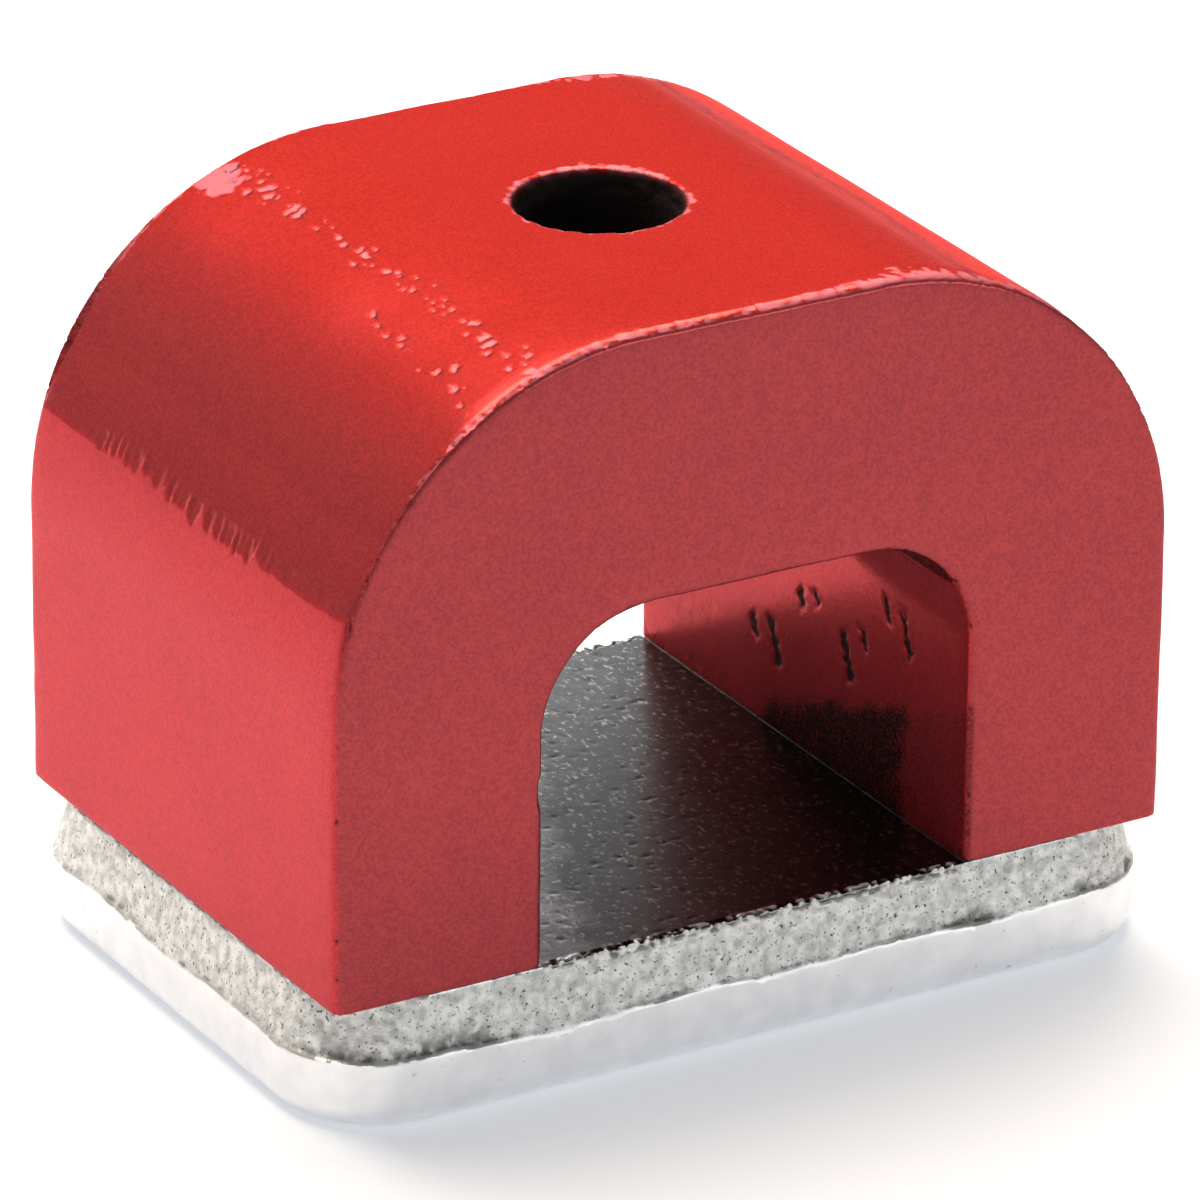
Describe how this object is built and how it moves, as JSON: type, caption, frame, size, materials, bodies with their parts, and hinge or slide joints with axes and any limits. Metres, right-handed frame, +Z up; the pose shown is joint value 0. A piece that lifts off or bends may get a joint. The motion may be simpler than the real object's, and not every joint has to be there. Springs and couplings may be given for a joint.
{
  "type": "lifting magnet",
  "caption": "Bridge-type permanent lifting magnet: arched red-enamelled casting with flat poles and a bore through the bridge, closed by a slide-off steel keeper plate.",
  "frame": {"origin": "centre of the keeper plate's underside, the surface the closed magnet stands on", "axes": "+Z up through the mounting hole, +X from pole to pole, +Y along the slot between the poles"},
  "size_m": [0.046, 0.0316, 0.0367],
  "materials": {
    "red_enamel": "satin",
    "keeper_steel": "satin"
  },
  "bodies": {
    "magnet": {"magnet_body": "red_enamel"},
    "keeper": {"keeper_plate": "keeper_steel"}
  },
  "joints": [
    {"name": "keeper_slide", "type": "slide", "parent": "magnet", "child": "keeper", "axis": [0, 1, 0], "range_m": [-0.034, 0.034]}
  ]
}
